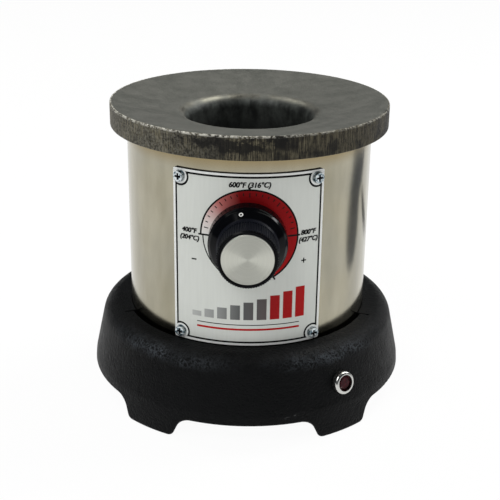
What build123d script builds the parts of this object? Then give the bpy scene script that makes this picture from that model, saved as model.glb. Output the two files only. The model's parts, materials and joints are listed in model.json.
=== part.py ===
from build123d import *
import math
import os

os.makedirs("parts", exist_ok=True)

# Driving dimensions in millimetres; the pot stands on z = 0, its axis is Z and its front faces -Y

# Crucible: one iron casting, a dished flange with a round well
overall_height = 137.2
flange_overhang = 7.5
flange_edge = 10.6
dish_drop = 6.2
rim_break = 0.7
well_diameter = 56.6
well_depth = 36.0
mouth_round = 6.0
well_floor_round = 8.0
cup_wall = 4.2
cup_floor = 7.0
cup_root_bevel = 2.5
cup_foot_bevel = 5.0
spigot_depth = 3.0

# Shell: rolled sheet, open along a butt seam at the back
shell_gauge = 1.0
seam_gap = 0.4

# Base casting
base_flare = 17.9
base_foot_draft = 1.1
base_knee_height = 14.0
base_wall_slope = 12.2
base_wall = 5.0
deck_height = 40.0
deck_thickness = 5.0
shoulder_round = 8.0
knee_round = 12.0
shell_recess = 4.0
ledge_width = 18.0
relief_width = 1.4
relief_half_angle = 68.0
slit_length = 5.4
slit_width = 0.9
slit_depth = 1.5
foot_count = 5
foot_height = 9.3
foot_width = 22.8
arch_side_angle = 66.0
arch_round = 7.0
foot_corner_round = 3.0
lip_round = 1.0

# Bottom cover and its screws
cover_gauge = 1.2
cover_margin = 2.4
cover_height = 10.8
cover_screw_count = 3
cover_screw_inset = 7.0
cover_screw_diameter = 3.8
cover_screw_length = 9.0
cover_screw_head_diameter = 7.0
cover_screw_head_height = 2.2
cover_boss_diameter = 9.0

# Tie rods that draw the crucible and the shell down on the base
rod_count = 3
rod_heater_gap = 1.45
rod_diameter = 5.0
rod_grip = 8.0
rod_tail = 7.0
rod_boss_diameter = 10.0
rod_boss_height = 10.0
washer_diameter = 10.0
washer_thickness = 1.0
nut_flats = 8.0
nut_height = 4.0

# Band heater round the cup
heater_thickness = 3.5
heater_width = 18.0
heater_drop = 2.6
heater_gap = 8.0
heater_ear_length = 9.0
heater_ear_thickness = 2.0
heater_azimuth = 120.0
clamp_screw_diameter = 4.0
clamp_head_diameter = 7.0
clamp_head_height = 2.6
clamp_nut_flats = 7.0
clamp_nut_height = 3.2
terminal_azimuth = 240.0
terminal_spacing = 9.0
terminal_diameter = 4.0
terminal_length = 8.0
terminal_collar_diameter = 7.0
terminal_collar_length = 3.0

# Insulating blanket inside the shell
blanket_ear_gap = 3.6
blanket_top_gap = 1.0
blanket_screw_gap = 5.5

# Control plate on the front of the shell
plate_width = 67.6
plate_deck_gap = 0.3
plate_top_gap = 7.4
plate_gauge = 0.8
plate_corner = 1.0
screw_inset = 3.4
screw_diameter = 2.84
screw_length = 6.4
screw_head_diameter = 5.3
screw_head_height = 1.7
screw_cross_width = 0.9
screw_cross_length = 3.0
screw_cross_depth = 0.9

# Control behind the plate, with its shaft
dial_drop = 28.0
control_width = 34.0
control_depth = 14.5
control_rise = 13.0
control_corner = 2.0
control_heater_gap = 1.25
control_corner_gap = 0.5
bushing_diameter = 9.5
bushing_depth = 2.0
bushing_stand = 3.4
bushing_collar_diameter = 15.0
control_nut_flats = 12.7
control_nut_height = 2.4
shaft_diameter = 6.35
shaft_depth = 6.0
shaft_reach = 15.5
shaft_flat = 0.5
blade_width = 6.3
blade_thickness = 0.8
blade_length = 8.0
blade_spacing = 10.0
blade_floor_gap = 14.2
blade_count = 3

# Knob, measured outward from the plate's face
knob_clearance = 2.95
skirt_diameter = 33.4
skirt_rim = 5.8
skirt_wall = 1.6
skirt_rise = 4.2
grip_diameter = 25.2
grip_root_diameter = 26.0
grip_root_rise = 0.8
grip_length = 11.4
grip_bevel = 0.6
flute_count = 72
flute_diameter = 0.7
flute_runout = 0.9
hub_diameter = 12.0
hub_gap = 0.55
hollow_diameter = 20.0
hollow_depth = 3.6
cap_diameter = 21.8
cap_edge = 0.15
cap_inset = 0.1
cap_seat_depth = 1.0
set_screw_diameter = 4.0
set_screw_length = 5.0
set_screw_setback = 7.4
index_angle = 12.0

# Pilot lamp in the base wall
lamp_azimuth = 36.0
lamp_stem_diameter = 8.6
lamp_bezel_diameter = 10.4
lamp_bezel_height = 3.2
lamp_bezel_round = 1.2
lamp_lens_diameter = 7.4
lamp_lens_recess = 0.5
lamp_lens_length = 6.0
lamp_facet_count = 8
lamp_facet_height = 1.1
lamp_facet_slope = 45.0
lamp_body_length = 12.0
lamp_nut_flats = 11.0
lamp_nut_height = 2.5
lamp_nut_gap = 0.4
lamp_stem_tail = 2.0

# Cord bushing in the back of the base
gland_boss_diameter = 20.0
gland_boss_stand = 0.4
gland_neck_diameter = 12.5
gland_head_diameter = 17.0
gland_head_length = 7.2
gland_head_bevel = 1.5
gland_tail_length = 7.0
gland_barb = 0.7
cord_bore_diameter = 7.8

# Clearances
seat_gap = 0.25
fit_gap = 0.05

# Radii, worked out from the well outwards: cup, heater, control, shell, flange and base
well_radius = well_diameter / 2
cup_radius = well_radius + cup_wall
heater_bore = cup_radius + fit_gap
heater_radius = heater_bore + heater_thickness
control_front = heater_radius + control_heater_gap + control_depth
shell_bore = math.hypot(control_front + control_corner_gap, control_width / 2)
shell_radius = shell_bore + shell_gauge
flange_radius = shell_radius + flange_overhang
knee_radius = shell_radius + base_flare
foot_radius = knee_radius + base_foot_draft
rod_circle_radius = heater_radius + rod_heater_gap + rod_boss_diameter / 2
blanket_inner = heater_radius + heater_ear_length + blanket_ear_gap

# Heights and other sizes that follow from the driving dimensions
flange_under = overall_height - flange_edge
well_floor = overall_height - well_depth
cup_bottom = well_floor - cup_floor
spigot_radius = shell_bore - 3 * seat_gap
spigot_bottom = flange_under - spigot_depth
rod_boss_bottom = spigot_bottom - rod_boss_height
ledge_top = deck_height - shell_recess
ledge_bottom = ledge_top - deck_thickness
deck_bottom = deck_height - deck_thickness
recess_radius = shell_radius + seat_gap
ledge_bore = recess_radius - ledge_width
wall_run = math.tan(math.radians(base_wall_slope))
wall_slant = base_wall / math.cos(math.radians(base_wall_slope))
arch_width = 2 * foot_radius * math.sin(math.pi / foot_count) - foot_width
arch_run = foot_height / math.tan(math.radians(arch_side_angle))
plate_back = shell_radius + seat_gap
plate_face = plate_back + plate_gauge
plate_bottom = deck_height + plate_deck_gap
plate_top = flange_under - plate_top_gap
dial_height = plate_top - dial_drop
plate_half_angle = math.degrees(plate_width / 2 / plate_face)
knob_back = plate_face + knob_clearance
cover_top = cover_height + cover_gauge
wall_middle = (cover_top + deck_bottom) / 2


def wall_radius(height):
    """Outer radius of the base's sloping wall at a height above the knee."""
    return knee_radius - (height - base_knee_height) * wall_run


def foot_radius_at(height):
    """Outer radius of the base below the knee."""
    return foot_radius + (knee_radius - foot_radius) * height / base_knee_height


def outward(azimuth, radius=0.0, height=0.0, tilt=0.0):
    """Plane that faces away from the axis, an azimuth round from the front, with its y axis up."""
    turn = math.radians(azimuth)
    lean = math.radians(tilt)
    away = Vector(math.sin(turn), -math.cos(turn), 0)
    normal = away * math.cos(lean) + Vector(0, 0, math.sin(lean))
    origin = away * radius + Vector(0, 0, height)
    return Plane(origin, x_dir=(math.cos(turn), math.sin(turn), 0), z_dir=normal)


def corner(sketch, x, y):
    """The sketch's vertex nearest to a point."""
    return sketch.vertices().sort_by_distance((x, y))[0]


def ring_sector(inner, outer, start, sweep):
    """Closed outline of a part of a ring, between two radii."""
    inside = CenterArc((0, 0), inner, start, sweep)
    outside = CenterArc((0, 0), outer, start, sweep)
    Line(inside @ 0, outside @ 0)
    Line(inside @ 1, outside @ 1)


cover_radius = foot_radius_at(cover_top) - wall_slant - cover_margin
cover_screw_radius = cover_radius - cover_screw_inset

# Angles from +X of the front and of the things set out round the axis
front_angle = -90.0
rod_angle = front_angle + 60.0
screw_half_angle = math.degrees((plate_width / 2 - screw_inset) / plate_face)
screw_heights = (plate_bottom + screw_inset, plate_top - screw_inset)
screw_sides = (-screw_half_angle, screw_half_angle)
screw_places = [(side, height) for side in screw_sides for height in screw_heights]
knob_plane = outward(0, 0, dial_height)
knob_section = Plane.XY.offset(dial_height)
knob_axis = Axis((0, 0, dial_height), (0, -1, 0))

# Crucible
with BuildPart() as crucible:
    with BuildSketch(Plane.XZ) as section:
        with BuildLine():
            Polyline(
                (0, well_floor),
                (well_radius, well_floor),
                (well_radius, overall_height - dish_drop),
                (flange_radius, overall_height),
                (flange_radius, flange_under),
                (spigot_radius, flange_under),
                (spigot_radius, spigot_bottom),
                (cup_radius, spigot_bottom),
                (cup_radius, cup_bottom),
                (0, cup_bottom),
                close=True,
            )
        make_face()
        fillet(corner(section, well_radius, overall_height - dish_drop), mouth_round)
        fillet(corner(section, well_radius, well_floor), well_floor_round)
        chamfer(corner(section, cup_radius, cup_bottom), cup_foot_bevel)
        chamfer(corner(section, cup_radius, spigot_bottom), cup_root_bevel)
        chamfer(corner(section, flange_radius, overall_height), rim_break)
        chamfer(corner(section, flange_radius, flange_under), rim_break)
    revolve(axis=Axis.Z)
    with BuildSketch(Plane.XY.offset(spigot_bottom)):
        with PolarLocations(rod_circle_radius, rod_count, rod_angle):
            Circle(rod_boss_diameter / 2)
    extrude(amount=-rod_boss_height)
    with BuildSketch(Plane.XY.offset(rod_boss_bottom)):
        with PolarLocations(rod_circle_radius, rod_count, rod_angle):
            Circle(rod_diameter / 2 + fit_gap)
    extrude(amount=rod_grip, mode=Mode.SUBTRACT)
crucible.part.label = "crucible"
export_step(crucible.part, "parts/crucible.step")

# Shell
with BuildPart() as outer_shell:
    with BuildSketch(Plane.XY.offset(ledge_top)):
        Circle(shell_radius)
        Circle(shell_bore, mode=Mode.SUBTRACT)
        with Locations((0, shell_radius)):
            Rectangle(seam_gap, 4 * shell_gauge, mode=Mode.SUBTRACT)
    extrude(amount=flange_under - ledge_top)
    with BuildSketch(*[outward(side, 0, height) for side, height in screw_places]):
        Circle(screw_diameter / 2 + fit_gap)
    extrude(amount=2 * shell_radius, mode=Mode.SUBTRACT)
    with BuildSketch(knob_plane):
        Circle(bushing_diameter / 2 + seat_gap)
    extrude(amount=2 * shell_radius, mode=Mode.SUBTRACT)
outer_shell.part.label = "outer_shell"
export_step(outer_shell.part, "parts/outer_shell.step")

# Base casting: a turned section, cut into feet, with bosses below its deck
lamp_wall = wall_radius(wall_middle)
gland_face = wall_radius(wall_middle - gland_boss_diameter / 2) + gland_boss_stand
with BuildPart() as base_casting:
    with BuildSketch(Plane.XZ) as section:
        with BuildLine():
            Polyline(
                (foot_radius, 0),
                (knee_radius, base_knee_height),
                (wall_radius(deck_height), deck_height),
                (recess_radius, deck_height),
                (recess_radius, ledge_top),
                (ledge_bore, ledge_top),
                (ledge_bore, ledge_bottom),
                (recess_radius + deck_thickness, ledge_bottom),
                (recess_radius + deck_thickness, deck_bottom),
                (wall_radius(deck_bottom) - wall_slant, deck_bottom),
                (knee_radius - wall_slant, base_knee_height),
                (foot_radius - base_wall, 0),
                close=True,
            )
        make_face()
        fillet(corner(section, wall_radius(deck_height), deck_height), shoulder_round)
        fillet(corner(section, knee_radius, base_knee_height), knee_round)
    revolve(axis=Axis.Z)
    arch_step = 360 / foot_count
    with BuildSketch(*[outward(turn * arch_step) for turn in range(foot_count)]) as arches:
        Trapezoid(arch_width + 2 * arch_run, 2 * foot_height, arch_side_angle)
        fillet(arches.vertices().group_by(Axis.Y)[-1], arch_round)
    extrude(amount=2 * foot_radius, mode=Mode.SUBTRACT)
    soles = base_casting.edges().group_by(Axis.Z)[0]
    fillet(soles.filter_by(GeomType.LINE), foot_corner_round)
    lip = [
        edge
        for edge in base_casting.edges().filter_by(GeomType.CIRCLE)
        if abs(edge.center().Z - foot_height) < fit_gap
        and abs(edge.radius - foot_radius_at(foot_height)) < base_wall / 2
    ]
    fillet(lip, lip_round)
    with BuildSketch(Plane.XY.offset(deck_height)):
        with BuildLine():
            ring_sector(
                recess_radius - relief_width,
                recess_radius + relief_width,
                front_angle - relief_half_angle,
                2 * relief_half_angle,
            )
        make_face()
    extrude(amount=-shell_recess, mode=Mode.SUBTRACT)
    with BuildSketch(Plane.XY.offset(deck_height)):
        for side in (-relief_half_angle, relief_half_angle):
            with PolarLocations(recess_radius + slit_length / 2, 1, front_angle + side):
                Rectangle(slit_length, slit_width)
    extrude(amount=-slit_depth, mode=Mode.SUBTRACT)
    with BuildSketch(Plane.XY.offset(cover_top)):
        with PolarLocations(cover_screw_radius, cover_screw_count, front_angle):
            Circle(cover_boss_diameter / 2)
    extrude(until=Until.NEXT)
    with BuildSketch(Plane.XY.offset(cover_top)):
        with PolarLocations(cover_screw_radius, cover_screw_count, front_angle):
            Circle(cover_screw_diameter / 2 + fit_gap)
    extrude(amount=cover_screw_length, mode=Mode.SUBTRACT)
    with BuildSketch(Plane.XY.offset(ledge_bottom)):
        with PolarLocations(rod_circle_radius, rod_count, rod_angle):
            Circle(rod_diameter / 2 + seat_gap)
    extrude(amount=deck_thickness, mode=Mode.SUBTRACT)
    with BuildSketch(outward(180, gland_face, wall_middle)):
        Circle(gland_boss_diameter / 2)
    extrude(until=Until.NEXT, dir=(0, -1, 0))
    with BuildSketch(outward(180, gland_face, wall_middle)):
        Circle(gland_neck_diameter / 2 + fit_gap)
    extrude(amount=-4 * base_wall, mode=Mode.SUBTRACT)
    with BuildSketch(outward(lamp_azimuth, lamp_wall, wall_middle, base_wall_slope)):
        Circle(lamp_stem_diameter / 2 + fit_gap)
    extrude(amount=3 * base_wall, both=True, mode=Mode.SUBTRACT)
base_casting.part.label = "base_casting"
export_step(base_casting.part, "parts/base_casting.step")

# Bottom cover, a disc screwed to the bosses
with BuildPart() as bottom_cover:
    with BuildSketch(Plane.XY.offset(cover_height)):
        Circle(cover_radius)
        with PolarLocations(cover_screw_radius, cover_screw_count, front_angle):
            Circle(cover_screw_diameter / 2 + seat_gap, mode=Mode.SUBTRACT)
    extrude(amount=cover_gauge)
bottom_cover.part.label = "bottom_cover"
export_step(bottom_cover.part, "parts/bottom_cover.step")

# Bottom cover screws
with BuildPart() as bottom_cover_screws:
    with BuildSketch(Plane.XY.offset(cover_height)):
        with PolarLocations(cover_screw_radius, cover_screw_count, front_angle):
            Circle(cover_screw_head_diameter / 2)
    extrude(amount=-cover_screw_head_height)
    chamfer(bottom_cover_screws.edges().group_by(Axis.Z)[0], cover_screw_head_height / 2)
    with BuildSketch(Plane.XY.offset(cover_height)):
        with PolarLocations(cover_screw_radius, cover_screw_count, front_angle):
            Circle(cover_screw_diameter / 2)
    extrude(amount=cover_gauge + cover_screw_length - seat_gap)
bottom_cover_screws.part.label = "bottom_cover_screws"
export_step(bottom_cover_screws.part, "parts/bottom_cover_screws.step")

# Tie rods, from the crucible's bosses down through the ledge
with BuildPart() as tie_rods:
    with BuildSketch(Plane.XY.offset(ledge_bottom - rod_tail)):
        with PolarLocations(rod_circle_radius, rod_count, rod_angle):
            Circle(rod_diameter / 2)
    extrude(amount=rod_boss_bottom + rod_grip - seat_gap - ledge_bottom + rod_tail)
tie_rods.part.label = "tie_rods"
export_step(tie_rods.part, "parts/tie_rods.step")

# Tie rod washers
with BuildPart() as tie_rod_washers:
    with BuildSketch(Plane.XY.offset(ledge_bottom)):
        with PolarLocations(rod_circle_radius, rod_count, rod_angle):
            Circle(washer_diameter / 2)
            Circle(rod_diameter / 2 + seat_gap, mode=Mode.SUBTRACT)
    extrude(amount=-washer_thickness)
tie_rod_washers.part.label = "tie_rod_washers"
export_step(tie_rod_washers.part, "parts/tie_rod_washers.step")

# Tie rod nuts
with BuildPart() as tie_rod_nuts:
    with BuildSketch(Plane.XY.offset(ledge_bottom - washer_thickness)):
        with PolarLocations(rod_circle_radius, rod_count, rod_angle):
            RegularPolygon(nut_flats / 2, 6, major_radius=False)
            Circle(rod_diameter / 2 + fit_gap, mode=Mode.SUBTRACT)
    extrude(amount=-nut_height)
tie_rod_nuts.part.label = "tie_rod_nuts"
export_step(tie_rod_nuts.part, "parts/tie_rod_nuts.step")

# Band heater, split, with two ears
heater_top = spigot_bottom - heater_drop
heater_middle = heater_top - heater_width / 2
ear_reach = heater_ear_length + heater_thickness / 2
clamp_radius = heater_radius + heater_ear_length / 2
clamp_plane = outward(heater_azimuth + 90, 0, heater_middle)
clamp_face = heater_gap / 2 + heater_ear_thickness
with BuildPart() as heater_band:
    with BuildSketch(Plane.XY.offset(heater_top)):
        Circle(heater_radius)
        Circle(heater_bore, mode=Mode.SUBTRACT)
        with PolarLocations(heater_radius, 1, front_angle + heater_azimuth):
            Rectangle(4 * heater_thickness, heater_gap, mode=Mode.SUBTRACT)
            ear_place = (heater_ear_length - heater_thickness / 2) / 2
            ear_side = (heater_gap + heater_ear_thickness) / 2
            with Locations((ear_place, -ear_side), (ear_place, ear_side)):
                Rectangle(ear_reach, heater_ear_thickness)
    extrude(amount=-heater_width)
    with BuildSketch(clamp_plane):
        with Locations((-clamp_radius, 0)):
            Circle(clamp_screw_diameter / 2 + fit_gap)
    extrude(amount=2 * clamp_face, both=True, mode=Mode.SUBTRACT)
heater_band.part.label = "heater_band"
export_step(heater_band.part, "parts/heater_band.step")

# Clamp screw through the heater's ears
with BuildPart() as heater_clamp_screw:
    with BuildSketch(clamp_plane.offset(clamp_face)):
        with Locations((-clamp_radius, 0)):
            Circle(clamp_head_diameter / 2)
    extrude(amount=clamp_head_height)
    with BuildSketch(clamp_plane.offset(clamp_face)):
        with Locations((-clamp_radius, 0)):
            Circle(clamp_screw_diameter / 2)
    extrude(amount=-2 * clamp_face - clamp_nut_height)
heater_clamp_screw.part.label = "heater_clamp_screw"
export_step(heater_clamp_screw.part, "parts/heater_clamp_screw.step")

# Clamp nut
with BuildPart() as heater_clamp_nut:
    with BuildSketch(clamp_plane.offset(-clamp_face)):
        with Locations((-clamp_radius, 0)):
            RegularPolygon(clamp_nut_flats / 2, 6, major_radius=False)
            Circle(clamp_screw_diameter / 2 + fit_gap, mode=Mode.SUBTRACT)
    extrude(amount=-clamp_nut_height)
heater_clamp_nut.part.label = "heater_clamp_nut"
export_step(heater_clamp_nut.part, "parts/heater_clamp_nut.step")

# Heater terminals, each a collar with a post
terminal_plane = outward(terminal_azimuth, heater_radius, heater_middle)
with BuildPart() as heater_terminals:
    with BuildSketch(terminal_plane):
        with GridLocations(0, terminal_spacing, 1, 2):
            Circle(terminal_collar_diameter / 2)
    extrude(amount=terminal_collar_length)
    with BuildSketch(terminal_plane):
        with GridLocations(0, terminal_spacing, 1, 2):
            Circle(terminal_diameter / 2)
    extrude(amount=terminal_length)
heater_terminals.part.label = "heater_terminals"
export_step(heater_terminals.part, "parts/heater_terminals.step")

# Insulating blanket, open at the front for the control
blanket_outer = shell_bore - seat_gap
blanket_half_angle = screw_half_angle + math.degrees(blanket_screw_gap / shell_bore)
with BuildPart() as insulation_blanket:
    with BuildSketch(Plane.XY.offset(ledge_top)):
        with BuildLine():
            ring_sector(
                blanket_inner,
                blanket_outer,
                front_angle + blanket_half_angle,
                360 - 2 * blanket_half_angle,
            )
        make_face()
    extrude(amount=spigot_bottom - blanket_top_gap - ledge_top)
insulation_blanket.part.label = "insulation_blanket"
export_step(insulation_blanket.part, "parts/insulation_blanket.step")

# Control plate, rolled to the shell's curve
with BuildPart() as control_plate:
    with BuildSketch(Plane.XY.offset(plate_bottom)):
        with BuildLine():
            ring_sector(plate_back, plate_face, front_angle - plate_half_angle, 2 * plate_half_angle)
        make_face()
    extrude(amount=plate_top - plate_bottom)
    corners = control_plate.edges().filter_by(lambda edge: abs(edge.length - plate_gauge) < fit_gap)
    fillet(corners, plate_corner)
    with BuildSketch(*[outward(side, 0, height) for side, height in screw_places]):
        Circle(screw_diameter / 2 + seat_gap)
    extrude(amount=2 * plate_face, mode=Mode.SUBTRACT)
    with BuildSketch(knob_plane):
        Circle(bushing_diameter / 2 + seat_gap)
    extrude(amount=2 * plate_face, mode=Mode.SUBTRACT)
control_plate.part.label = "control_plate"
export_step(control_plate.part, "parts/control_plate.step")

# Plate screws, pan heads with a cross recess
screw_planes = [outward(side, plate_face, height) for side, height in screw_places]
with BuildPart() as plate_screws:
    with BuildSketch(*screw_planes):
        Circle(screw_head_diameter / 2)
    extrude(amount=screw_head_height, taper=12)
    with BuildSketch(*screw_planes):
        Circle(screw_diameter / 2)
    extrude(amount=-screw_length)
    with BuildSketch(*[plane.offset(screw_head_height) for plane in screw_planes]):
        Rectangle(screw_cross_length, screw_cross_width)
        Rectangle(screw_cross_width, screw_cross_length)
    extrude(amount=-screw_cross_depth, mode=Mode.SUBTRACT)
plate_screws.part.label = "plate_screws"
export_step(plate_screws.part, "parts/plate_screws.step")

# Control body behind the shell
control_bottom = ledge_top + blade_floor_gap + blade_length
control_top = dial_height + control_rise
with BuildPart() as control_body:
    with BuildSketch(knob_plane.offset(control_front)) as outline:
        with Locations((0, (control_top + control_bottom) / 2 - dial_height)):
            Rectangle(control_width, control_top - control_bottom)
        fillet(outline.vertices(), control_corner)
    extrude(amount=-control_depth)
    with BuildSketch(knob_plane.offset(control_front)):
        Circle(bushing_diameter / 2 + fit_gap)
    extrude(amount=-bushing_depth, mode=Mode.SUBTRACT)
    with BuildSketch(knob_plane.offset(control_front)):
        Circle(shaft_diameter / 2 + fit_gap)
    extrude(amount=-shaft_depth - seat_gap, mode=Mode.SUBTRACT)
control_body.part.label = "control_body"
export_step(control_body.part, "parts/control_body.step")

# Blade terminals below the control body
blade_plane = Plane((0, control_depth / 2 - control_front, control_bottom))
with BuildPart() as control_blades:
    with BuildSketch(blade_plane):
        with GridLocations(blade_spacing, 0, blade_count, 1):
            Rectangle(blade_width, blade_thickness)
    extrude(amount=-blade_length)
control_blades.part.label = "control_blades"
export_step(control_blades.part, "parts/control_blades.step")

# Control bushing: a collar inside the shell and a threaded neck through the plate
collar_radius = bushing_collar_diameter / 2
collar_front = math.sqrt(shell_bore**2 - collar_radius**2) - fit_gap
bushing_end = plate_face + bushing_stand
with BuildPart() as control_bushing:
    with BuildSketch(knob_plane.offset(control_front)):
        Circle(collar_radius)
    extrude(amount=collar_front - control_front)
    with BuildSketch(knob_plane.offset(control_front - bushing_depth)):
        Circle(bushing_diameter / 2)
    extrude(amount=bushing_end - control_front + bushing_depth)
    with BuildSketch(knob_plane):
        Circle(shaft_diameter / 2 + fit_gap)
    extrude(amount=2 * plate_face, mode=Mode.SUBTRACT)
control_bushing.part.label = "control_bushing"
export_step(control_bushing.part, "parts/control_bushing.step")

# Control nut on the plate's face
with BuildPart() as control_nut:
    with BuildSketch(knob_plane.offset(plate_face)):
        RegularPolygon(control_nut_flats / 2, 6, major_radius=False)
        Circle(bushing_diameter / 2 + fit_gap, mode=Mode.SUBTRACT)
    extrude(amount=control_nut_height)
control_nut.part.label = "control_nut"
export_step(control_nut.part, "parts/control_nut.step")

# Knob: a turned section with a skirt, fluted round its grip
skirt_radius = skirt_diameter / 2
grip_radius = grip_diameter / 2
skirt_edge = knob_back + skirt_rim
skirt_top = skirt_edge + skirt_rise
grip_start = skirt_top + grip_root_rise
grip_top = grip_start + grip_length
cap_radius = cap_diameter / 2
cap_seat = grip_top - cap_seat_depth
hub_back = bushing_end + hub_gap
bore_end = hub_back + shaft_reach
set_screw_stand = grip_top - set_screw_setback
set_screw_turn = math.radians(180 - index_angle)
set_screw_away = (math.sin(set_screw_turn), 0, math.cos(set_screw_turn))
set_screw_plane = Plane((0, -set_screw_stand, dial_height), x_dir=(0, 1, 0), z_dir=set_screw_away)
flat_radius = shaft_diameter / 2 - shaft_flat
with BuildPart() as knob_body:
    with BuildSketch(knob_section):
        with BuildLine():
            Polyline(
                (0, -cap_seat),
                (cap_radius + seat_gap, -cap_seat),
                (cap_radius + seat_gap, -grip_top),
                (grip_radius - grip_bevel, -grip_top),
                (grip_radius, grip_bevel - grip_top),
                (grip_radius, -grip_start),
                (grip_root_diameter / 2, -skirt_top),
                (skirt_radius, -skirt_edge),
                (skirt_radius, -knob_back),
                (skirt_radius - skirt_wall, -knob_back),
                (skirt_radius - skirt_wall, skirt_wall / 2 - skirt_edge),
                (hollow_diameter / 2, skirt_wall - skirt_top),
                (hollow_diameter / 2, -skirt_top - hollow_depth),
                (hub_diameter / 2, -skirt_top - hollow_depth),
                (hub_diameter / 2, -hub_back),
                (shaft_diameter / 2 + fit_gap, -hub_back),
                (shaft_diameter / 2 + fit_gap, -bore_end),
                (0, -bore_end),
                close=True,
            )
        make_face()
    revolve(axis=knob_axis)
    with BuildSketch(knob_plane.offset(grip_start + flute_runout)):
        with PolarLocations(grip_radius, flute_count):
            Circle(flute_diameter / 2)
    extrude(amount=grip_length, mode=Mode.SUBTRACT)
    with BuildSketch(set_screw_plane):
        Circle(set_screw_diameter / 2 + fit_gap)
    extrude(amount=2 * grip_radius, mode=Mode.SUBTRACT)
knob_body.part.label = "knob_body"
export_step(knob_body.part, "parts/knob_body.step")

# Knob cap, a spun disc let into the grip
with BuildPart() as knob_cap:
    with BuildSketch(knob_plane.offset(cap_seat)):
        Circle(cap_radius)
    extrude(amount=cap_seat_depth - cap_inset)
    chamfer(knob_cap.edges().group_by(Axis.Y)[0], cap_edge)
knob_cap.part.label = "knob_cap"
export_step(knob_cap.part, "parts/knob_cap.step")

# Set screw that locks the knob on the shaft's flat
with BuildPart() as knob_set_screw:
    with BuildSketch(set_screw_plane.offset(flat_radius)):
        Circle(set_screw_diameter / 2)
    extrude(amount=set_screw_length)
    with BuildSketch(set_screw_plane.offset(flat_radius + set_screw_length)):
        RegularPolygon(set_screw_diameter / 4, 6, major_radius=False)
    extrude(amount=-set_screw_length / 2, mode=Mode.SUBTRACT)
knob_set_screw.part.label = "knob_set_screw"
export_step(knob_set_screw.part, "parts/knob_set_screw.step")

# Control shaft, flatted under the set screw
with BuildPart() as control_shaft:
    with BuildSketch(knob_plane.offset(control_front - shaft_depth)):
        Circle(shaft_diameter / 2)
    extrude(amount=bore_end - seat_gap - control_front + shaft_depth)
    with BuildSketch(set_screw_plane.offset(flat_radius)):
        Rectangle(2 * set_screw_diameter, 2 * shaft_diameter)
    extrude(amount=shaft_diameter, mode=Mode.SUBTRACT)
control_shaft.part.label = "control_shaft"
export_step(control_shaft.part, "parts/control_shaft.step")

# Pilot lamp bezel: a bright ring with a threaded stem
lamp_plane = outward(lamp_azimuth, lamp_wall, wall_middle, base_wall_slope)
lamp_nut_face = -base_wall - lamp_nut_gap
lamp_stem_end = lamp_nut_face - lamp_nut_height - lamp_stem_tail
lens_front = lamp_bezel_height - lamp_lens_recess
lens_back = lens_front - lamp_lens_length
with BuildPart() as pilot_bezel:
    with BuildSketch(lamp_plane.offset(seat_gap)):
        Circle(lamp_bezel_diameter / 2)
    extrude(amount=lamp_bezel_height - seat_gap)
    bezel_front = pilot_bezel.faces().sort_by(Axis(lamp_plane.origin, lamp_plane.z_dir))[-1]
    fillet(bezel_front.edges(), lamp_bezel_round)
    with BuildSketch(lamp_plane.offset(lamp_stem_end)):
        Circle(lamp_stem_diameter / 2)
    extrude(amount=seat_gap - lamp_stem_end)
    with BuildSketch(lamp_plane.offset(lamp_stem_end)):
        Circle(lamp_lens_diameter / 2 + fit_gap)
    extrude(amount=lamp_bezel_height - lamp_stem_end, mode=Mode.SUBTRACT)
pilot_bezel.part.label = "pilot_bezel"
export_step(pilot_bezel.part, "parts/pilot_bezel.step")

# Pilot lamp lens, cut to facets at its front
with BuildPart() as pilot_lens:
    with BuildSketch(lamp_plane.offset(lens_back)):
        Circle(lamp_lens_diameter / 2)
    extrude(amount=lamp_lens_length - lamp_facet_height)
    with BuildSketch(lamp_plane.offset(lens_front - lamp_facet_height)):
        RegularPolygon(lamp_lens_diameter / 2, lamp_facet_count)
    extrude(amount=lamp_facet_height, taper=lamp_facet_slope)
pilot_lens.part.label = "pilot_lens"
export_step(pilot_lens.part, "parts/pilot_lens.step")

# Pilot lamp body behind the lens
with BuildPart() as pilot_body:
    with BuildSketch(lamp_plane.offset(lens_back)):
        Circle(lamp_lens_diameter / 2)
    extrude(amount=-lamp_body_length)
pilot_body.part.label = "pilot_body"
export_step(pilot_body.part, "parts/pilot_body.step")

# Pilot lamp nut inside the wall
with BuildPart() as pilot_nut:
    with BuildSketch(lamp_plane.offset(lamp_nut_face)):
        RegularPolygon(lamp_nut_flats / 2, 6, major_radius=False)
        Circle(lamp_stem_diameter / 2 + fit_gap, mode=Mode.SUBTRACT)
    extrude(amount=-lamp_nut_height)
pilot_nut.part.label = "pilot_nut"
export_step(pilot_nut.part, "parts/pilot_nut.step")

# Cord bushing, pushed through the back wall until its barb springs out
gland_inside = wall_radius(wall_middle + gland_neck_diameter / 2) - wall_slant - seat_gap
gland_bore = cord_bore_diameter / 2
gland_neck = gland_neck_diameter / 2
with BuildPart() as cord_bushing:
    with BuildSketch(Plane.YZ) as section:
        with BuildLine():
            Polyline(
                (gland_face, wall_middle + gland_neck),
                (gland_face, wall_middle + gland_head_diameter / 2),
                (gland_face + gland_head_length, wall_middle + gland_head_diameter / 2),
                (gland_face + gland_head_length, wall_middle + gland_bore),
                (gland_inside - gland_tail_length, wall_middle + gland_bore),
                (gland_inside - gland_tail_length, wall_middle + gland_neck - gland_barb),
                (gland_inside, wall_middle + gland_neck + gland_barb),
                (gland_inside, wall_middle + gland_neck),
                close=True,
            )
        make_face()
        head_corner = (gland_face + gland_head_length, wall_middle + gland_head_diameter / 2)
        chamfer(corner(section, *head_corner), gland_head_bevel)
    revolve(axis=Axis((0, 0, wall_middle), (0, 1, 0)))
cord_bushing.part.label = "cord_bushing"
export_step(cord_bushing.part, "parts/cord_bushing.step")
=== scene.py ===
import json
import math

import bmesh
import bpy
from mathutils import Matrix, Vector, noise


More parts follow.
